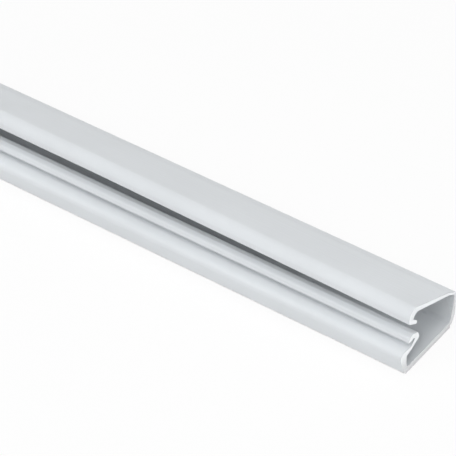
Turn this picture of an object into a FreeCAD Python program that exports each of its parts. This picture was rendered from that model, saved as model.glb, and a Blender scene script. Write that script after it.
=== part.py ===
import FreeCAD, Part
import Sketcher
import math
import os
import re

# Cord cover raceway: one extruded PVC profile with a sprung open lid, and the
# foam tape under its floor. Millimetres. X runs along the stock, the slot faces
# -Y, Z is up and the underside of the tape is z = 0.
#
# Section values are "y" from the front bulge towards the back wall and "z" up
# from the floor. Catch values are measured from the inner end of the shelf:
# "in" towards the back wall and "up". Lid values are "u" from the hinge towards
# the front edge and "v" square to the lid.

VALUES = {
    # stock
    "stock_length": 400.0,
    "stock_width": 27.1,
    "tape_thickness": 1.05,
    "tape_front_inset": 0.7,
    "tape_back_inset": 0.6,
    # floor and its corners
    "floor_thickness": 1.2,
    "foot_front_inset": 2.1,
    "foot_front_round": 0.5,
    "foot_back_inset": 1.4,
    "foot_back_rise": 2.45,
    "foot_back_round": 0.5,
    "foot_wall_round": 1.2,
    "floor_front_inset": 3.3,
    "floor_front_round": 1.0,
    "floor_back_inset": 2.4,
    "floor_back_round": 1.3,
    # back wall, thinner towards the hinge
    "wall_middle_thickness": 1.4,
    "wall_middle_z": 6.8,
    "wall_middle_round": 4.0,
    "wall_top_thickness": 1.1,
    "wall_top_drop": 1.0,
    "wall_shoulder_drop": 1.2,
    "wall_shoulder_round": 1.5,
    # hinge
    "hinge_inset": 0.7,
    "hinge_z": 11.6,
    "hinge_radius": 0.4,
    # front wall and the shelf that the lip lands on
    "bulge_z": 6.9,
    "bulge_round": 1.5,
    "front_wall_thickness": 3.0,
    "inside_low_z": 4.5,
    "inside_low_round": 2.0,
    "inside_high_drop": 1.9,
    "inside_high_round": 0.4,
    "shelf_depth": 4.95,
    "shelf_z": 8.5,
    "shelf_outer_rise": 0.3,
    "shelf_outer_round": 1.3,
    "shelf_inner_round": 0.3,
    # catch: arm, slit and curled nose, whose tip flares out below its waist
    "slit_in": 1.75,
    "slit_up": 1.55,
    "slit_width": 1.1,
    "slit_end_round": 0.35,
    "tip_inner_out": 0.2,
    "tip_inner_up": 1.85,
    "tip_outer_out": 1.55,
    "tip_outer_up": 2.1,
    "tip_round": 0.2,
    "waist_out": 1.22,
    "waist_up": 2.8,
    "waist_round": 0.8,
    "nose_front_out": 1.15,
    "nose_front_up": 3.55,
    "nose_front_round": 0.9,
    "crest_in": 0.65,
    "crest_up": 3.85,
    "crest_round": 0.8,
    "nose_back_in": 3.05,
    "nose_back_up": 2.95,
    "nose_back_round": 1.4,
    "arm_end_in": 3.9,
    "arm_end_up": 0.6,
    "arm_end_round": 0.7,
    "arm_root_in": 0.35,
    "arm_root_down": 1.2,
    "arm_root_round": 2.0,
    # lid, drawn level and swung up, a little wider in the middle of the stock
    "lid_angle_end": 22.5,
    "lid_angle_quarter": 25.4,
    "lid_angle_middle": 26.4,
    "lid_setback": 1.9,
    "lid_front_v": 1.35,
    "lid_front_round": 2.5,
    "lid_back_u": 4.5,
    "lid_back_v": 1.05,
    "lid_back_round": 6.0,
    "lid_under_back_u": 3.5,
    "lid_under_back_v": 0.2,
    "lid_under_back_round": 3.0,
    "lid_under_front_v": 0.2,
    # lip and barb
    "lip_thickness": 2.35,
    "lip_corner_round": 1.7,
    "lip_face_v": 1.8,
    "lip_face_round": 2.0,
    "lip_edge_inset": 0.95,
    "lip_edge_v": 3.6,
    "lip_edge_round": 0.45,
    "barb_reach": 2.65,
    "barb_low_v": 4.1,
    "barb_low_round": 0.25,
    "barb_high_v": 3.4,
    "barb_high_round": 0.2,
    "barb_shoulder": 1.85,
    "barb_back_v": 2.9,
    "barb_root_v": 2.4,
    "barb_root_round": 0.3,
}

HINGE_Y = "stock_width - hinge_inset"
LID_REACH = f"({HINGE_Y} - lid_setback)"
FLOOR_Z = "tape_thickness + floor_thickness"
REAR_END = "-stock_length / 2"

# Corners of the channel, front foot first, then up the front wall, around the
# nose, down inside, along the floor and around the back wall.
CHANNEL = [
    ("foot_front_inset", "tape_thickness", "foot_front_round"),
    ("0 * bulge_z", "bulge_z", "bulge_round"),
    ("0 * bulge_z", "shelf_z + shelf_outer_rise", "shelf_outer_round"),
    ("shelf_depth", "shelf_z", "shelf_inner_round"),
    ("shelf_depth + slit_in", "shelf_z + slit_up", "slit_end_round"),
    (
        "shelf_depth + slit_in - slit_width / sqrt(2)",
        "shelf_z + slit_up + slit_width / sqrt(2)",
        "slit_end_round",
    ),
    ("shelf_depth - tip_inner_out", "shelf_z + tip_inner_up", None),
    ("shelf_depth - tip_outer_out", "shelf_z + tip_outer_up", "tip_round"),
    ("shelf_depth - waist_out", "shelf_z + waist_up", "waist_round"),
    ("shelf_depth - nose_front_out", "shelf_z + nose_front_up", "nose_front_round"),
    ("shelf_depth + crest_in", "shelf_z + crest_up", "crest_round"),
    ("shelf_depth + nose_back_in", "shelf_z + nose_back_up", "nose_back_round"),
    ("shelf_depth + arm_end_in", "shelf_z + arm_end_up", "arm_end_round"),
    ("shelf_depth + arm_root_in", "shelf_z - arm_root_down", "arm_root_round"),
    ("front_wall_thickness", "shelf_z - inside_high_drop", "inside_high_round"),
    ("front_wall_thickness", "inside_low_z", "inside_low_round"),
    ("floor_front_inset", FLOOR_Z, "floor_front_round"),
    ("stock_width - floor_back_inset", FLOOR_Z, "floor_back_round"),
    ("stock_width - wall_middle_thickness", "wall_middle_z", "wall_middle_round"),
    ("stock_width - wall_top_thickness", "hinge_z - wall_top_drop", None),
    (f"{HINGE_Y} - hinge_radius", "hinge_z", None),
    (f"{HINGE_Y} + hinge_radius", "hinge_z", None),
    ("stock_width", "hinge_z - wall_shoulder_drop", "wall_shoulder_round"),
    ("stock_width", "tape_thickness + foot_back_rise", "foot_wall_round"),
    ("stock_width - foot_back_inset", "tape_thickness", "foot_back_round"),
]

# Corners of the lid about the hinge, over the top to the lip, along the barb
# and back under the lid.
LID = [
    ("0 * hinge_radius", "hinge_radius", None),
    ("-lid_back_u", "lid_back_v", "lid_back_round"),
    (f"-{LID_REACH}", "lid_front_v", "lid_front_round"),
    (f"-{LID_REACH}", "-lip_face_v", "lip_face_round"),
    (f"lip_edge_inset - {LID_REACH}", "-lip_edge_v", "lip_edge_round"),
    (f"lip_thickness + barb_reach - {LID_REACH}", "-barb_low_v", "barb_low_round"),
    (f"lip_thickness + barb_reach - {LID_REACH}", "-barb_high_v", "barb_high_round"),
    (f"lip_thickness + barb_shoulder - {LID_REACH}", "-barb_back_v", None),
    (f"lip_thickness - {LID_REACH}", "-barb_root_v", "barb_root_round"),
    (f"lip_thickness - {LID_REACH}", "-lid_under_front_v", "lip_corner_round"),
    ("-lid_under_back_u", "lid_under_back_v", "lid_under_back_round"),
    ("0 * hinge_radius", "-hinge_radius", None),
]


def add_sheet(doc):
    sheet = doc.addObject("Spreadsheet::Sheet", "sizes")
    for row, (name, value) in enumerate(VALUES.items(), start=1):
        sheet.set(f"A{row}", name)
        sheet.set(f"B{row}", str(value))
        sheet.setAlias(f"B{row}", name)
    doc.recompute()
    return sheet


def bound(formula):
    names = "|".join(sorted(VALUES, key=len, reverse=True))
    return re.sub(rf"\b({names})\b", r"sizes.\1", formula)


def rounded_corner(before, corner, after, radius):
    """Ends, centre and direction of the arc that rounds one corner."""
    into = (before - corner).normalize()
    out = (after - corner).normalize()
    half = into.getAngle(out) / 2
    reach = radius / math.tan(half)
    centre = corner + (into + out).normalize() * (radius / math.sin(half))
    left_turn = (into.cross(out)).z < 0
    return corner + into * reach, corner + out * reach, centre, left_turn


def add_arc(sketch, start, end, centre, left_turn):
    first, last = (start, end) if left_turn else (end, start)
    angles = [math.atan2(p.y - centre.y, p.x - centre.x) for p in (first, last)]
    circle = Part.Circle(centre, FreeCAD.Vector(0, 0, 1), (start - centre).Length)
    return sketch.addGeometry(Part.ArcOfCircle(circle, *angles), False)


def hold(sketch, place, corner, formulas):
    """Ties one sketch point to the sheet, measured from the sketch's origin."""
    for kind, value, formula in zip(("DistanceX", "DistanceY"), corner, formulas):
        ends = (-1, 1, *place) if value >= 0 else (*place, -1, 1)
        index = sketch.addConstraint(Sketcher.Constraint(kind, *ends, abs(value)))
        sign = "" if value >= 0 else "-"
        sketch.setExpression(f"Constraints[{index}]", f"{sign}({bound(formula)})")


def draw_outline(sketch, sheet, corners):
    """Closed outline of straight runs and tangent arcs, tied to the sheet."""
    points = [
        FreeCAD.Vector(sheet.evalExpression(y), sheet.evalExpression(z), 0) for y, z, _ in corners
    ]
    count = len(points)
    rounds = {}
    for i, (_, _, name) in enumerate(corners):
        if name:
            radius = sheet.evalExpression(name)
            rounds[i] = rounded_corner(points[i - 1], points[i], points[(i + 1) % count], radius)
    lines = []
    for i in range(count):
        j = (i + 1) % count
        start = rounds[i][1] if i in rounds else points[i]
        end = rounds[j][0] if j in rounds else points[j]
        lines.append(sketch.addGeometry(Part.LineSegment(start, end), False))
    for i, (y, z, name) in enumerate(corners):
        before, after = lines[i - 1], lines[i]
        place = (points[i].x, points[i].y)
        if i not in rounds:
            sketch.addConstraint(Sketcher.Constraint("Coincident", before, 2, after, 1))
            hold(sketch, (after, 1), place, (y, z))
            continue
        start, end, centre, left_turn = rounds[i]
        arc = add_arc(sketch, start, end, centre, left_turn)
        first, last = (1, 2) if left_turn else (2, 1)
        sketch.addConstraint(Sketcher.Constraint("Tangent", before, 2, arc, first))
        sketch.addConstraint(Sketcher.Constraint("Tangent", arc, last, after, 1))
        mark = sketch.addGeometry(Part.Point(points[i]), True)
        sketch.addConstraint(Sketcher.Constraint("PointOnObject", mark, 1, before))
        sketch.addConstraint(Sketcher.Constraint("PointOnObject", mark, 1, after))
        hold(sketch, (mark, 1), place, (y, z))
        radius = sketch.addConstraint(
            Sketcher.Constraint("Radius", arc, (start - centre).Length)
        )
        sketch.setExpression(f"Constraints[{radius}]", bound(name))


def add_section(body, name, station, offset_y, offset_z, turn=None):
    """Sketch across the stock at one station along it."""
    sketch = body.newObject("Sketcher::SketchObject", name)
    plane = next(f for f in body.Origin.OriginFeatures if f.Role == "YZ_Plane")
    sketch.AttachmentSupport = [(plane, "")]
    sketch.MapMode = "FlatFace"
    sketch.setExpression("AttachmentOffset.Base.x", bound(offset_y))
    sketch.setExpression("AttachmentOffset.Base.y", bound(offset_z))
    sketch.setExpression("AttachmentOffset.Base.z", bound(station))
    if turn:
        sketch.setExpression("AttachmentOffset.Rotation.Angle", bound(turn))
    return sketch


def extrude(body, name, sketch):
    pad = body.newObject("PartDesign::Pad", name)
    pad.Profile = sketch
    pad.setExpression("Length", bound("stock_length"))


def build_channel(body, sheet):
    channel = add_section(body, "channel_section", REAR_END, "-stock_width / 2", "0 * hinge_z")
    draw_outline(channel, sheet, CHANNEL)
    extrude(body, "channel", channel)


def build_hinge(body, sheet):
    hinge = add_section(body, "hinge_section", REAR_END, f"{HINGE_Y} - stock_width / 2", "hinge_z")
    ring = Part.Circle()
    ring.Radius = sheet.evalExpression("hinge_radius")
    web = hinge.addGeometry(ring, False)
    hinge.addConstraint(Sketcher.Constraint("Coincident", web, 3, -1, 1))
    radius = hinge.addConstraint(Sketcher.Constraint("Radius", web, ring.Radius))
    hinge.setExpression(f"Constraints[{radius}]", bound("hinge_radius"))
    extrude(body, "hinge", hinge)


def build_lid(body, sheet):
    stations = [
        ("lid_rear_end", REAR_END, "-lid_angle_end * 1 deg"),
        ("lid_rear_quarter", "-stock_length / 4", "-lid_angle_quarter * 1 deg"),
        ("lid_middle", "0 * stock_length", "-lid_angle_middle * 1 deg"),
        ("lid_front_quarter", "stock_length / 4", "-lid_angle_quarter * 1 deg"),
        ("lid_front_end", "stock_length / 2", "-lid_angle_end * 1 deg"),
    ]
    sections = []
    for name, station, turn in stations:
        sketch = add_section(body, name, station, f"{HINGE_Y} - stock_width / 2", "hinge_z", turn)
        draw_outline(sketch, sheet, LID)
        sections.append(sketch)
    lid = body.newObject("PartDesign::AdditiveLoft", "lid")
    lid.Profile = sections[0]
    lid.Sections = sections[1:]
    lid.Ruled = True


def build_raceway(doc, sheet):
    body = doc.addObject("PartDesign::Body", "raceway_channel")
    body.Label = "raceway_channel"
    build_channel(body, sheet)
    build_hinge(body, sheet)
    build_lid(body, sheet)
    return body


def build_tape(doc):
    front = "foot_front_inset + tape_front_inset"
    back = "stock_width - foot_back_inset - tape_back_inset"
    tape = doc.addObject("Part::Box", "foam_tape")
    tape.Label = "foam_tape"
    tape.setExpression("Length", bound("stock_length"))
    tape.setExpression("Width", bound(f"{back} - ({front})"))
    tape.setExpression("Height", bound("tape_thickness"))
    tape.setExpression(".Placement.Base.x", bound("-stock_length / 2"))
    tape.setExpression(".Placement.Base.y", bound(f"{front} - stock_width / 2"))
    return tape


def check(doc, pieces):
    for item in doc.Objects:
        if "Invalid" in item.State or "Error" in item.State:
            raise RuntimeError(f"{item.Label} did not build: {item.State}")
    for piece in pieces:
        shape = piece.Shape
        if shape.isNull() or not shape.isValid() or len(shape.Solids) != 1:
            raise RuntimeError(f"{piece.Label} is not one valid solid")


def main():
    doc = FreeCAD.newDocument("cord_cover_raceway")
    sheet = add_sheet(doc)
    pieces = [build_raceway(doc, sheet), build_tape(doc)]
    doc.recompute()
    check(doc, pieces)
    os.makedirs("parts", exist_ok=True)
    for piece in pieces:
        piece.Shape.exportStep(f"parts/{piece.Label}.step")
        box = piece.Shape.BoundBox
        print(piece.Label, box, round(piece.Shape.Volume / 1000, 2), "cm3")


main()
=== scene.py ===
"""Cord cover raceway: a length of one-piece white channel with its lid sprung open."""

import math

import bmesh
import bpy
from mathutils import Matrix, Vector


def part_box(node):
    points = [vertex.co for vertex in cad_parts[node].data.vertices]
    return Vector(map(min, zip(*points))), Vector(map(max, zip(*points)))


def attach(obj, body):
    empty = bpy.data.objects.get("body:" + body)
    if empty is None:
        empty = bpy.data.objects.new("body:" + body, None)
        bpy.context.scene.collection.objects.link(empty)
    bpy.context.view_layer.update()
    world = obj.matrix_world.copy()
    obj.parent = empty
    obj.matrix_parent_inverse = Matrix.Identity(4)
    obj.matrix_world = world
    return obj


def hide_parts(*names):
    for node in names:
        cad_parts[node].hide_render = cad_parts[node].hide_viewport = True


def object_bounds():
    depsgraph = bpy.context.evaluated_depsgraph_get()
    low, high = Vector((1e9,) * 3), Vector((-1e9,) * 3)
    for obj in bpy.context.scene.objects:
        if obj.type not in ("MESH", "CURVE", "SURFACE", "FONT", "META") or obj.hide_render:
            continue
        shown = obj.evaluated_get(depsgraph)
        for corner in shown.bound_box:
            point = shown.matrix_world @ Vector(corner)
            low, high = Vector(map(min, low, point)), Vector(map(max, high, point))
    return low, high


bl_info = {
    "name": "Cord Cover Raceway",
    "version": (1, 0, 0),
    "blender": (4, 5, 0),
    "location": "View3D > Sidebar > Raceway",
    "description": "Dresses an extruded cord cover and its foam tape, and sets up a studio",
    "category": "Object",
}

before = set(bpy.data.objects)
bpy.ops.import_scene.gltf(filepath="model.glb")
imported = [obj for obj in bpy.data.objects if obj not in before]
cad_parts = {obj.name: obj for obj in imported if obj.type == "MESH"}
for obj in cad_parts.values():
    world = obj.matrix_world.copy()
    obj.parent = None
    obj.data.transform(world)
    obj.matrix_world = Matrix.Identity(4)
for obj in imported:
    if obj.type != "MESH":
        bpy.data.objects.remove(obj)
CAD_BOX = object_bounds()

# The stock runs along X and is sawn off square at this distance from the middle, in metres.
HALF_LENGTH = CAD_BOX[1][0]

# Lines that the tools leave: the die's along the stock, the saw's slanting across the cuts.
DIE_LINES_PER_METRE = 1200.0
SAW_MARKS_PER_METRE = 1800.0
SAW_SLANT = math.radians(25)
LINE_CHANGES_PER_METRE = 3.0
LINE_DEPTH = 0.0002

# The skin of the plastic: faint blotches, a little darker or lighter, smoother or duller.
# A ramp says between which levels of the noise the colour turns.
RESIN_BLOTCHES_PER_METRE = 45.0
RESIN_RAMP = (0.3, 0.7)
RESIN_DARK = 0.975
RESIN_LIGHT = 1.01
SMOOTHER_BY = 0.04
DULLER_BY = 0.06
PLASTIC_IOR = 1.5
PLASTIC_SHINE = 0.15

# The saw cuts: how deep they reach, and where painted light turns them pale, going up and towards
# the slot; lower down and further back they keep painted shade.
CUT_DEPTH = 0.00005
CUT_ROUGHNESS = 0.7
PAINTED_LIGHT_DIRECTION = (0.0, -0.25, 1.0)
PAINTED_LIGHT_FROM = 0.005
PAINTED_LIGHT_TO = 0.011

# The foam of the tape, with its cells.
FOAM_BLOTCHES_PER_METRE = 900.0
FOAM_RAMP = (0.35, 0.65)
FOAM_DARK = 0.9
FOAM_ROUGHNESS = 0.85
CELL_BUMP = 0.5
CELL_DEPTH = 0.0001

# Mesh work: points this close become one, faces this level become one, sharper edges are broken.
EDGE_STEPS = 2
MERGE_WITHIN = 0.000002
FLAT_WITHIN = math.radians(0.5)
BROKEN_FROM = math.radians(50)
CHANNEL_SMOOTH_BELOW = math.radians(40)
LARGE_FACES_LEAD = 100

# The slit edges of the tape wander as two waves, given in radians per metre of tape. Its long
# edges are cut into short ones for this.
TAPE_CUTS = 160
TAPE_LONG_EDGE = 0.01
SLOW_WAVE = 611.0
QUICK_WAVE = 1433.0
QUICK_WAVE_START = 1.0
QUICK_WAVE_SHARE = 0.6
WANDER_SHARE = 0.6
TAPE_EDGE_ROUND = 0.00008
TAPE_SMOOTH_BELOW = math.radians(35)

# The paper that the stock lies on, and the pale grey that stands beyond it.
PAPER_ROUGHNESS = 0.9
PAPER_SHINE = 0.1
BEYOND_GREY = 0.8

# Soft boxes: where each stands, what it faces, and its width and height, in metres.
SOFT_BOXES = {
    "front": ((0.12, -0.8, 1.0), (0.08, 0.0, 0.0), (1.0, 0.65)),
    "middle": ((0.12, -1.1, 0.7), (0.1, 0.0, 0.0), (1.2, 0.6)),
    "top": ((0.1, -0.1, 1.2), (0.08, 0.0, 0.0), (1.0, 0.8)),
    "back": ((0.6, 0.4, 0.55), (0.15, 0.0, 0.0), (0.5, 0.5)),
    "end": ((1.2, -0.25, 0.45), (0.2, 0.0, 0.0), (0.7, 0.6)),
    "low_end": ((1.2, 0.0, 0.17), (0.2, 0.0, 0.01), (0.6, 0.3)),
}

# The picture is square, and the foot of the cut end is seen at this pixel of it.
PICTURE_PX = 456.0
FOOT_PIXEL_X = 405.9
FOOT_PIXEL_Y = 373.9

# The same foot in metres: a point on the floor at the saw cut, next to the tape's slot side
# corner and this far in from the foremost point of the slot side.
FOOT_INSET = 0.0031
FOOT_PLACE = (HALF_LENGTH, CAD_BOX[0][1] + FOOT_INSET, 0.0)
MM_PER_METRE = 1000.0
SENSOR_WIDTH_MM = 36.0
NEAREST_SEEN = 0.01
FARTHEST_SEEN = 50.0


# Settings that a user may change


class RacewayChannelSettings(bpy.types.PropertyGroup):
    colour: bpy.props.FloatVectorProperty(
        name="PVC colour",
        description="Colour of the extruded PVC",
        subtype="COLOR",
        size=3,
        min=0.0,
        max=1.0,
        default=(0.75, 0.775, 0.795),
    )
    roughness: bpy.props.FloatProperty(
        name="Roughness",
        description="How dull the extruded skin is",
        subtype="FACTOR",
        min=0.0,
        max=1.0,
        default=0.65,
    )
    evenness: bpy.props.FloatProperty(
        name="Evenness",
        description="How evenly the matte skin spreads light over its curves",
        subtype="FACTOR",
        min=0.0,
        max=1.0,
        default=0.5,
    )
    # This cut colour holds painted light: the saw cuts are painted palest towards the slot and the
    # lid.
    cut_colour: bpy.props.FloatVectorProperty(
        name="Cut colour",
        description="Colour of the saw cuts at the slot side, where painted light makes them palest",
        subtype="COLOR",
        size=3,
        min=0.0,
        max=1.0,
        default=(0.875, 0.895, 0.91),
    )
    # This cut colour holds painted shade: the saw cuts are painted darker near the floor and the
    # back wall.
    cut_painted_shade_colour: bpy.props.FloatVectorProperty(
        name="Painted shade cut colour",
        description="Colour of the saw cuts near the floor and the back wall",
        subtype="COLOR",
        size=3,
        min=0.0,
        max=1.0,
        default=(0.695, 0.705, 0.715),
    )
    edge_break: bpy.props.FloatProperty(
        name="Edge break",
        description="Width of the broken edge round the saw cuts",
        subtype="DISTANCE",
        unit="LENGTH",
        default=0.0001,
    )
    die_lines: bpy.props.FloatProperty(
        name="Die lines",
        description="Strength of the fine lines that the die leaves along the stock",
        subtype="FACTOR",
        min=0.0,
        max=1.0,
        default=0.4,
    )
    saw_marks: bpy.props.FloatProperty(
        name="Saw marks",
        description="Strength of the saw marks on the cut ends",
        subtype="FACTOR",
        min=0.0,
        max=1.0,
        default=0.9,
    )


class FoamTapeSettings(bpy.types.PropertyGroup):
    colour: bpy.props.FloatVectorProperty(
        name="Foam colour",
        description="Colour of the foam along its slit edges",
        subtype="COLOR",
        size=3,
        min=0.0,
        max=1.0,
        default=(0.92, 0.92, 0.92),
    )
    cut_colour: bpy.props.FloatVectorProperty(
        name="Cut foam colour",
        description="Colour of the foam at the sawn ends",
        subtype="COLOR",
        size=3,
        min=0.0,
        max=1.0,
        default=(0.665, 0.66, 0.675),
    )
    cell_size: bpy.props.FloatProperty(
        name="Cell size",
        description="Width of the foam's cells",
        subtype="DISTANCE",
        unit="LENGTH",
        default=0.00025,
    )
    cut_waviness: bpy.props.FloatProperty(
        name="Cut waviness",
        description="How far the slit edges of the tape wander",
        subtype="DISTANCE",
        unit="LENGTH",
        default=0.00006,
    )


class StudioSettings(bpy.types.PropertyGroup):
    floor_size: bpy.props.FloatProperty(
        name="Floor size",
        description="Width of the studio floor",
        subtype="DISTANCE",
        unit="LENGTH",
        default=8.0,
    )
    floor_colour: bpy.props.FloatVectorProperty(
        name="Floor colour",
        description="Colour of the paper that the stock lies on",
        subtype="COLOR",
        size=3,
        min=0.0,
        max=1.0,
        default=(0.93, 0.93, 0.93),
    )
    shadow_share: bpy.props.FloatProperty(
        name="Shadow share",
        description="How much of the soft shadow the floor shows",
        subtype="FACTOR",
        min=0.0,
        max=1.0,
        default=0.1,
    )
    sky_strength: bpy.props.FloatProperty(
        name="Sky strength",
        description="Even light from all round",
        default=0.08,
    )
    front_power: bpy.props.FloatProperty(
        name="Front box",
        description="Power of the soft box high in front of the slot",
        subtype="POWER",
        unit="POWER",
        default=6.4,
    )
    middle_power: bpy.props.FloatProperty(
        name="Middle box",
        description="Power of the wide soft box at middle height in front of the slot",
        subtype="POWER",
        unit="POWER",
        default=2.6,
    )
    top_power: bpy.props.FloatProperty(
        name="Top box",
        description="Power of the soft box overhead",
        subtype="POWER",
        unit="POWER",
        default=6.0,
    )
    back_power: bpy.props.FloatProperty(
        name="Back box",
        description="Power of the small soft box behind the near end of the lid",
        subtype="POWER",
        unit="POWER",
        default=0.4,
    )
    end_power: bpy.props.FloatProperty(
        name="End box",
        description="Power of the soft box that faces the cut end",
        subtype="POWER",
        unit="POWER",
        default=2.1,
    )
    low_end_power: bpy.props.FloatProperty(
        name="Low end box",
        description="Power of the small soft box low in line with the stock, facing the cut end",
        subtype="POWER",
        unit="POWER",
        default=3.2,
    )
    camera_azimuth: bpy.props.FloatProperty(
        name="Camera azimuth",
        description="Turn of the camera from square on to the slot side",
        subtype="ANGLE",
        unit="ROTATION",
        default=math.radians(35.83),
    )
    camera_elevation: bpy.props.FloatProperty(
        name="Camera elevation",
        description="Height of the camera above the horizon",
        subtype="ANGLE",
        unit="ROTATION",
        default=math.radians(40.35),
    )
    focal_px: bpy.props.FloatProperty(
        name="Focal length in pixels",
        description="Focal length, in pixels of the square picture",
        default=2358.0,
    )
    pixel_mm: bpy.props.FloatProperty(
        name="Millimetres per pixel",
        description="Size of one pixel at the cut end",
        default=0.2632,
    )


# Small helpers for meshes and selections


def deselect_all():
    if bpy.context.object and bpy.context.object.mode != "OBJECT":
        bpy.ops.object.mode_set(mode="OBJECT")
    bpy.ops.object.select_all(action="DESELECT")


def pick(obj):
    """Selects one object alone and makes it the active one."""
    deselect_all()
    obj.select_set(True)
    bpy.context.view_layer.objects.active = obj


def apply_modifiers(obj):
    pick(obj)
    for modifier in list(obj.modifiers):
        bpy.ops.object.modifier_apply(modifier=modifier.name)


def bake_place(obj):
    """Puts the object's place into its mesh."""
    pick(obj)
    bpy.ops.object.transform_apply(location=True, rotation=True, scale=True)


def select_edges(obj, wanted):
    """Selects the edges of the mesh in edit mode whose two ends pass the test."""
    bpy.ops.mesh.select_all(action="DESELECT")
    mesh = bmesh.from_edit_mesh(obj.data)
    for edge in mesh.edges:
        if wanted(edge.verts[0].co, edge.verts[1].co):
            edge.select_set(True)
    bmesh.update_edit_mesh(obj.data)


def round_edges(obj, name, width):
    """Adds a bevel to the object's sharp edges and returns it."""
    edges = obj.modifiers.new(name, "BEVEL")
    edges.width = width
    edges.segments = EDGE_STEPS
    edges.limit_method = "ANGLE"
    return edges


def finish_piece(obj, material, node):
    """Gives a piece its material and its body, and hides the node that it stands for."""
    obj.data.materials.append(bpy.data.materials[material])
    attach(obj, "root")
    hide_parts(node)


# Node groups and materials


def new_group(name, inputs, output):
    """Group with a Vector, some numbers with their first values, and one number that it puts out."""
    tree = bpy.data.node_groups.new(name, "ShaderNodeTree")
    tree.interface.new_socket(name="Vector", in_out="INPUT", socket_type="NodeSocketVector")
    for label, value in inputs.items():
        socket = tree.interface.new_socket(name=label, in_out="INPUT", socket_type="NodeSocketFloat")
        socket.default_value = value
    tree.interface.new_socket(name=output, in_out="OUTPUT", socket_type="NodeSocketFloat")
    return tree, tree.nodes.new("NodeGroupInput"), tree.nodes.new("NodeGroupOutput")


def add_node(tree, kind, **values):
    node = tree.nodes.new(kind)
    for key, value in values.items():
        setattr(node, key, value)
    return node


def drawn_lines_group():
    """Fine noise drawn out along X, for the lines that a die or a saw leaves."""
    tree, source, out = new_group("Drawn Lines", {"Lines per metre": DIE_LINES_PER_METRE}, "Height")
    split = add_node(tree, "ShaderNodeSeparateXYZ")
    join = add_node(tree, "ShaderNodeCombineXYZ")
    noise = add_node(tree, "ShaderNodeTexNoise")
    noise.inputs["Scale"].default_value = 1.0
    noise.inputs["Detail"].default_value = 3.0
    noise.inputs["Roughness"].default_value = 0.55
    link = tree.links.new
    link(source.outputs["Vector"], split.inputs[0])
    for axis in "XYZ":
        stretch = add_node(tree, "ShaderNodeMath", operation="MULTIPLY")
        link(split.outputs[axis], stretch.inputs[0])
        if axis == "X":
            stretch.inputs[1].default_value = LINE_CHANGES_PER_METRE
        else:
            link(source.outputs["Lines per metre"], stretch.inputs[1])
        link(stretch.outputs[0], join.inputs[axis])
    link(join.outputs[0], noise.inputs["Vector"])
    link(noise.outputs["Fac"], out.inputs["Height"])
    return tree


def cut_end_group():
    """1 on the two saw cuts and 0 along the stock."""
    first_values = {"Half length": HALF_LENGTH, "Edge": CUT_DEPTH}
    tree, source, out = new_group("Cut End Mask", first_values, "Mask")
    split = add_node(tree, "ShaderNodeSeparateXYZ")
    size = add_node(tree, "ShaderNodeMath", operation="ABSOLUTE")
    left = add_node(tree, "ShaderNodeMath", operation="SUBTRACT")
    share = add_node(tree, "ShaderNodeMath", operation="DIVIDE", use_clamp=True)
    flip = add_node(tree, "ShaderNodeMath", operation="SUBTRACT", use_clamp=True)
    flip.inputs[0].default_value = 1.0
    link = tree.links.new
    link(source.outputs["Vector"], split.inputs[0])
    link(split.outputs["X"], size.inputs[0])
    link(source.outputs["Half length"], left.inputs[0])
    link(size.outputs[0], left.inputs[1])
    link(left.outputs[0], share.inputs[0])
    link(source.outputs["Edge"], share.inputs[1])
    link(share.outputs[0], flip.inputs[1])
    link(flip.outputs[0], out.inputs["Mask"])
    return tree


def painted_light_side_group():
    """Painted light and shade for the saw cuts: 0, painted shade, near the floor and the back wall,
    rising to 1, painted light, towards the slot and the lid.
    """
    tree, source, out = new_group("Pale Side", {"Start": PAINTED_LIGHT_FROM, "End": PAINTED_LIGHT_TO}, "Mask")
    lean = add_node(tree, "ShaderNodeVectorMath", operation="DOT_PRODUCT")
    lean.inputs[1].default_value = PAINTED_LIGHT_DIRECTION
    rise = add_node(tree, "ShaderNodeMapRange", interpolation_type="SMOOTHSTEP")
    link = tree.links.new
    link(source.outputs["Vector"], lean.inputs[0])
    link(lean.outputs["Value"], rise.inputs["Value"])
    link(source.outputs["Start"], rise.inputs["From Min"])
    link(source.outputs["End"], rise.inputs["From Max"])
    link(rise.outputs["Result"], out.inputs["Mask"])
    return tree


def mottle_group():
    """Blotches of noise, for faint changes of colour and sheen."""
    tree, source, out = new_group("Resin Mottle", {"Scale": RESIN_BLOTCHES_PER_METRE}, "Mask")
    noise = add_node(tree, "ShaderNodeTexNoise")
    noise.inputs["Detail"].default_value = 4.0
    noise.inputs["Roughness"].default_value = 0.6
    tree.links.new(source.outputs["Vector"], noise.inputs["Vector"])
    tree.links.new(source.outputs["Scale"], noise.inputs["Scale"])
    tree.links.new(noise.outputs["Fac"], out.inputs["Mask"])
    return tree


def place_group(tree, group, **values):
    """Places a group with values of its own, where an underscore stands for a space."""
    node = add_node(tree, "ShaderNodeGroup", node_tree=group)
    for label, value in values.items():
        node.inputs[label.replace("_", " ")].default_value = value
    return node


def add_ramp(tree, stops, colour_low, colour_high):
    """Ramp that turns from one colour to the other between two stops."""
    node = add_node(tree, "ShaderNodeValToRGB")
    for end, stop, colour in zip(node.color_ramp.elements, stops, (colour_low, colour_high)):
        end.position = stop
        end.color = (*colour, 1.0)
    return node


def add_range(tree, low, high):
    node = add_node(tree, "ShaderNodeMapRange")
    node.inputs["To Min"].default_value = low
    node.inputs["To Max"].default_value = high
    return node


def add_mix(tree, kind, share, low, high):
    """Result of a mix from low to high, each a socket or a value, as the share rises."""
    node = add_node(tree, "ShaderNodeMix", data_type=kind)
    tree.links.new(share, node.inputs["Factor"])
    for label, source in (("A", low), ("B", high)):
        if isinstance(source, bpy.types.NodeSocket):
            tree.links.new(source, node.inputs[label])
        else:
            node.inputs[label].default_value = source
    return node.outputs["Result"]


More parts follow.
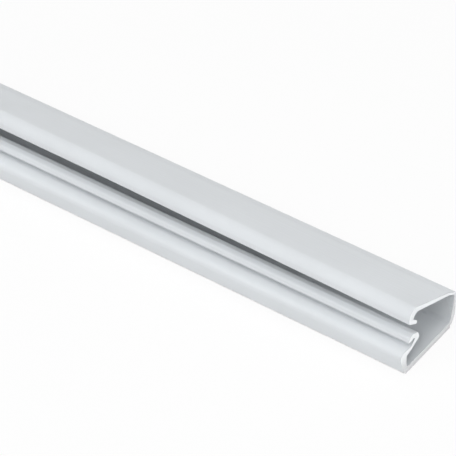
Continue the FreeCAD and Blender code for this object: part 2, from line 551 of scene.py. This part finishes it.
def add_bump(tree, height, strength, depth):
    node = add_node(tree, "ShaderNodeBump")
    node.inputs["Strength"].default_value = strength
    node.inputs["Distance"].default_value = depth
    tree.links.new(height, node.inputs["Height"])
    return node


def new_material(name):
    material = bpy.data.materials.new(name)
    material.use_nodes = True
    return material.node_tree, material.node_tree.nodes["Principled BSDF"]


def scaled(colour, share):
    """The colour times the share, with no channel above 1."""
    return [min(1.0, channel * share) for channel in colour]


def mix_pvc(settings, groups):
    """Matte white plastic with die lines, and paler, sawn ends that carry painted light towards the
    slot and the lid and painted shade near the floor and the back wall.
    """
    tree, skin = new_material("extruded_pvc")
    link = tree.links.new
    coords = add_node(tree, "ShaderNodeTexCoord")
    lines = place_group(tree, groups["lines"], Lines_per_metre=DIE_LINES_PER_METRE)
    mottle = place_group(tree, groups["mottle"], Scale=RESIN_BLOTCHES_PER_METRE)
    cut = place_group(tree, groups["cut"])
    # The side mask places painted light and painted shade on the saw cuts.
    side = place_group(tree, groups["side"])
    for node in (lines, mottle, cut, side):
        link(coords.outputs["Object"], node.inputs["Vector"])

    colour = settings.colour
    shade = add_ramp(tree, RESIN_RAMP, scaled(colour, RESIN_DARK), scaled(colour, RESIN_LIGHT))
    link(mottle.outputs["Mask"], shade.inputs["Fac"])
    # The saw cuts turn from a colour in painted shade near the floor and the back wall to a colour
    # in painted light towards the slot and the lid.
    cut_in_painted_shade = (*settings.cut_painted_shade_colour, 1.0)
    cut_in_painted_light = (*settings.cut_colour, 1.0)
    sawn = add_mix(tree, "RGBA", side.outputs["Mask"], cut_in_painted_shade, cut_in_painted_light)
    whole = add_mix(tree, "RGBA", cut.outputs["Mask"], shade.outputs["Color"], sawn)
    link(whole, skin.inputs["Base Color"])

    sheen = add_range(tree, settings.roughness - SMOOTHER_BY, settings.roughness + DULLER_BY)
    link(mottle.outputs["Mask"], sheen.inputs["Value"])
    dull = add_mix(tree, "FLOAT", cut.outputs["Mask"], sheen.outputs["Result"], CUT_ROUGHNESS)
    link(dull, skin.inputs["Roughness"])

    across = add_node(tree, "ShaderNodeMapping")
    across.inputs["Rotation"].default_value = (SAW_SLANT, 0.0, math.pi / 2)
    saw = place_group(tree, groups["lines"], Lines_per_metre=SAW_MARKS_PER_METRE)
    saw_height = add_node(tree, "ShaderNodeMath", operation="MULTIPLY")
    link(coords.outputs["Object"], across.inputs["Vector"])
    link(across.outputs["Vector"], saw.inputs["Vector"])
    link(saw.outputs["Height"], saw_height.inputs[0])
    link(cut.outputs["Mask"], saw_height.inputs[1])
    line_bump = add_bump(tree, lines.outputs["Height"], settings.die_lines, LINE_DEPTH)
    saw_bump = add_bump(tree, saw_height.outputs[0], settings.saw_marks, LINE_DEPTH)
    link(line_bump.outputs["Normal"], saw_bump.inputs["Normal"])
    link(saw_bump.outputs["Normal"], skin.inputs["Normal"])
    skin.inputs["Diffuse Roughness"].default_value = settings.evenness
    skin.inputs["IOR"].default_value = PLASTIC_IOR
    skin.inputs["Specular IOR Level"].default_value = PLASTIC_SHINE


def mix_foam(settings, groups):
    """White foam with open cells, greyer at its sawn ends."""
    tree, skin = new_material("foam_tape")
    link = tree.links.new
    coords = add_node(tree, "ShaderNodeTexCoord")
    mottle = place_group(tree, groups["mottle"], Scale=FOAM_BLOTCHES_PER_METRE)
    cut = place_group(tree, groups["cut"])
    cells = add_node(tree, "ShaderNodeTexVoronoi", feature="F1")
    cells.inputs["Scale"].default_value = 1.0 / settings.cell_size
    for node in (mottle, cut, cells):
        link(coords.outputs["Object"], node.inputs["Vector"])

    shades = []
    for colour in (settings.colour, settings.cut_colour):
        shade = add_ramp(tree, FOAM_RAMP, scaled(colour, FOAM_DARK), colour)
        link(mottle.outputs["Mask"], shade.inputs["Fac"])
        shades.append(shade.outputs["Color"])
    link(add_mix(tree, "RGBA", cut.outputs["Mask"], *shades), skin.inputs["Base Color"])
    bump = add_bump(tree, cells.outputs["Distance"], CELL_BUMP, CELL_DEPTH)
    link(bump.outputs["Normal"], skin.inputs["Normal"])
    skin.inputs["Roughness"].default_value = FOAM_ROUGHNESS


def background_rays(tree):
    """1 for the rays that show the background, and 0 for the rays that light things."""
    light = add_node(tree, "ShaderNodeLightPath")
    seen = light.outputs["Is Camera Ray"]
    for kind in ("Is Glossy Ray", "Is Transmission Ray"):
        either = add_node(tree, "ShaderNodeMath", operation="MAXIMUM")
        tree.links.new(seen, either.inputs[0])
        tree.links.new(light.outputs[kind], either.inputs[1])
        seen = either.outputs[0]
    return seen


def mix_paper(settings):
    """White paper that keeps a share of the soft shadow."""
    tree, paper = new_material("studio_paper")
    link = tree.links.new
    paper.inputs["Base Color"].default_value = (*settings.floor_colour, 1.0)
    paper.inputs["Roughness"].default_value = PAPER_ROUGHNESS
    paper.inputs["Specular IOR Level"].default_value = PAPER_SHINE
    share = add_node(tree, "ShaderNodeMath", operation="MULTIPLY")
    share.inputs[1].default_value = 1.0 - settings.shadow_share
    white = add_node(tree, "ShaderNodeEmission")
    mix = add_node(tree, "ShaderNodeMixShader")
    link(background_rays(tree), share.inputs[0])
    link(share.outputs[0], mix.inputs["Fac"])
    link(paper.outputs["BSDF"], mix.inputs[1])
    link(white.outputs["Emission"], mix.inputs[2])
    link(mix.outputs["Shader"], tree.nodes["Material Output"].inputs["Surface"])


class OBJECT_OT_mix_raceway_finishes(bpy.types.Operator):
    """Makes the PVC and foam materials"""

    bl_idname = "object.mix_raceway_finishes"
    bl_label = "Mix Finishes"

    def execute(self, context):
        groups = {
            "lines": drawn_lines_group(),
            "mottle": mottle_group(),
            "cut": cut_end_group(),
            "side": painted_light_side_group(),
        }
        mix_pvc(context.scene.raceway_channel, groups)
        mix_foam(context.scene.foam_tape, groups)
        return {"FINISHED"}


# Pieces of the raceway


class OBJECT_OT_dress_raceway_channel(bpy.types.Operator):
    """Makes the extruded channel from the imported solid, with broken edges at the saw cuts"""

    bl_idname = "object.dress_raceway_channel"
    bl_label = "Dress Channel"

    def execute(self, context):
        settings = context.scene.raceway_channel
        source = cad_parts["raceway_channel"]
        channel = bpy.data.objects.new("extruded_channel", source.data.copy())
        context.scene.collection.objects.link(channel)
        channel.data.materials.clear()
        pick(channel)
        if channel.data.has_custom_normals:
            bpy.ops.mesh.customdata_custom_splitnormals_clear()
        bpy.ops.object.mode_set(mode="EDIT")
        bpy.ops.mesh.select_all(action="SELECT")
        bpy.ops.mesh.remove_doubles(threshold=MERGE_WITHIN)
        bpy.ops.mesh.dissolve_limited(angle_limit=FLAT_WITHIN)
        bpy.ops.object.mode_set(mode="OBJECT")

        edges = round_edges(channel, "edge_break", settings.edge_break)
        edges.angle_limit = BROKEN_FROM
        apply_modifiers(channel)
        bpy.ops.object.shade_smooth_by_angle(angle=CHANNEL_SMOOTH_BELOW)
        flats = channel.modifiers.new("flat_faces", "WEIGHTED_NORMAL")
        flats.keep_sharp = True
        flats.weight = LARGE_FACES_LEAD
        apply_modifiers(channel)
        finish_piece(channel, "extruded_pvc", "raceway_channel")
        return {"FINISHED"}


class OBJECT_OT_dress_foam_tape(bpy.types.Operator):
    """Makes the foam mounting tape, with slightly wandering slit edges"""

    bl_idname = "object.dress_foam_tape"
    bl_label = "Dress Foam Tape"

    def execute(self, context):
        settings = context.scene.foam_tape
        low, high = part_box("foam_tape")
        middle = (low + high) / 2
        deselect_all()
        bpy.ops.mesh.primitive_cube_add(size=1.0, location=middle)
        tape = context.object
        tape.name = tape.data.name = "mounting_tape"
        tape.scale = high - low
        bake_place(tape)
        bpy.ops.object.mode_set(mode="EDIT")
        select_edges(tape, lambda a, b: abs(a.x - b.x) > TAPE_LONG_EDGE)
        bpy.ops.mesh.subdivide(number_cuts=TAPE_CUTS)
        bpy.ops.object.mode_set(mode="OBJECT")

        # Every point moves inwards, because the waves never outweigh the steady part.
        for vert in tape.data.vertices:
            wander = math.sin(vert.co.x * SLOW_WAVE)
            wander += QUICK_WAVE_SHARE * math.sin(vert.co.x * QUICK_WAVE + QUICK_WAVE_START)
            side = 1.0 if vert.co.y > middle.y else -1.0
            vert.co.y -= side * settings.cut_waviness * (1.0 + WANDER_SHARE * wander)
        round_edges(tape, "soft_edges", TAPE_EDGE_ROUND)
        apply_modifiers(tape)
        bpy.ops.object.shade_smooth_by_angle(angle=TAPE_SMOOTH_BELOW)
        finish_piece(tape, "foam_tape", "foam_tape")
        return {"FINISHED"}


# Floor, lights and camera


def camera_axes(azimuth, elevation):
    """Directions to the camera's right, its top and its back."""
    level = math.cos(elevation)
    back = Vector((math.sin(azimuth) * level, -math.cos(azimuth) * level, math.sin(elevation)))
    right = Vector((math.cos(azimuth), math.sin(azimuth), 0.0))
    return right, back.cross(right), back


def add_camera(settings):
    """Camera that sees the foot of the cut end at its place in the picture."""
    right, up, back = camera_axes(settings.camera_azimuth, settings.camera_elevation)
    seen_x = FOOT_PIXEL_X - PICTURE_PX / 2
    seen_y = FOOT_PIXEL_Y - PICTURE_PX / 2
    depth = settings.focal_px * settings.pixel_mm / MM_PER_METRE
    shift = right * seen_x - up * seen_y
    data = bpy.data.cameras.new("camera")
    data.sensor_width = SENSOR_WIDTH_MM
    data.lens = settings.focal_px / PICTURE_PX * SENSOR_WIDTH_MM
    data.clip_start = NEAREST_SEEN
    data.clip_end = FARTHEST_SEEN
    camera = bpy.data.objects.new("camera", data)
    camera.location = Vector(FOOT_PLACE) - shift / settings.focal_px * depth + back * depth
    camera.rotation_mode = "QUATERNION"
    camera.rotation_quaternion = (-back).to_track_quat("-Z", "Y")
    bpy.context.scene.collection.objects.link(camera)
    bpy.context.scene.camera = camera


def add_soft_box(name, power, place, target, size):
    data = bpy.data.lights.new(name, "AREA")
    data.shape = "RECTANGLE"
    data.size, data.size_y = size
    data.energy = power
    lamp = bpy.data.objects.new(name, data)
    lamp.location = place
    lamp.rotation_mode = "QUATERNION"
    lamp.rotation_quaternion = (Vector(target) - Vector(place)).to_track_quat("-Z", "Y")
    bpy.context.scene.collection.objects.link(lamp)


def add_sky(strength):
    """Even white light from all round, where the camera and reflections see a pale grey."""
    world = bpy.data.worlds.new("studio")
    world.use_nodes = True
    tree = world.node_tree
    link = tree.links.new
    even = tree.nodes["Background"]
    even.inputs["Color"].default_value = (1.0, 1.0, 1.0, 1.0)
    even.inputs["Strength"].default_value = strength
    grey = add_node(tree, "ShaderNodeBackground")
    grey.inputs["Color"].default_value = (BEYOND_GREY, BEYOND_GREY, BEYOND_GREY, 1.0)
    mix = add_node(tree, "ShaderNodeMixShader")
    link(background_rays(tree), mix.inputs["Fac"])
    link(even.outputs[0], mix.inputs[1])
    link(grey.outputs[0], mix.inputs[2])
    link(mix.outputs[0], tree.nodes["World Output"].inputs["Surface"])
    bpy.context.scene.world = world


class OBJECT_OT_build_raceway_studio(bpy.types.Operator):
    """Lays the paper floor and sets the lights and the camera"""

    bl_idname = "object.build_raceway_studio"
    bl_label = "Build Studio"

    def execute(self, context):
        settings = context.scene.raceway_studio
        deselect_all()
        bpy.ops.mesh.primitive_plane_add(size=settings.floor_size)
        floor = context.object
        floor.name = floor.data.name = "paper_floor"
        mix_paper(settings)
        floor.data.materials.append(bpy.data.materials["studio_paper"])
        add_sky(settings.sky_strength)
        for name, box in SOFT_BOXES.items():
            add_soft_box(name + "_box", getattr(settings, name + "_power"), *box)
        add_camera(settings)
        context.scene.view_settings.view_transform = "Standard"
        return {"FINISHED"}


# Sidebar panel and registration


class VIEW3D_PT_raceway(bpy.types.Panel):
    bl_idname = "VIEW3D_PT_raceway"
    bl_label = "Cord Cover Raceway"
    bl_space_type = "VIEW_3D"
    bl_region_type = "UI"
    bl_category = "Raceway"

    def draw(self, context):
        layout = self.layout
        for group in SETTINGS:
            settings = getattr(context.scene, group)
            box = layout.box()
            for name in settings.__annotations__:
                box.prop(settings, name)
        for operator in OPERATORS:
            layout.operator(operator.bl_idname)


SETTINGS = {
    "raceway_channel": RacewayChannelSettings,
    "foam_tape": FoamTapeSettings,
    "raceway_studio": StudioSettings,
}
OPERATORS = (
    OBJECT_OT_mix_raceway_finishes,
    OBJECT_OT_dress_raceway_channel,
    OBJECT_OT_dress_foam_tape,
    OBJECT_OT_build_raceway_studio,
)
CLASSES = (*SETTINGS.values(), *OPERATORS, VIEW3D_PT_raceway)


def register():
    for cls in CLASSES:
        bpy.utils.register_class(cls)
    for name, settings in SETTINGS.items():
        setattr(bpy.types.Scene, name, bpy.props.PointerProperty(type=settings))


def unregister():
    for name in SETTINGS:
        delattr(bpy.types.Scene, name)
    for cls in reversed(CLASSES):
        bpy.utils.unregister_class(cls)


def main():
    register()
    bpy.ops.object.mix_raceway_finishes()
    bpy.ops.object.dress_raceway_channel()
    bpy.ops.object.dress_foam_tape()
    bpy.ops.object.build_raceway_studio()


if __name__ == "__main__":
    main()
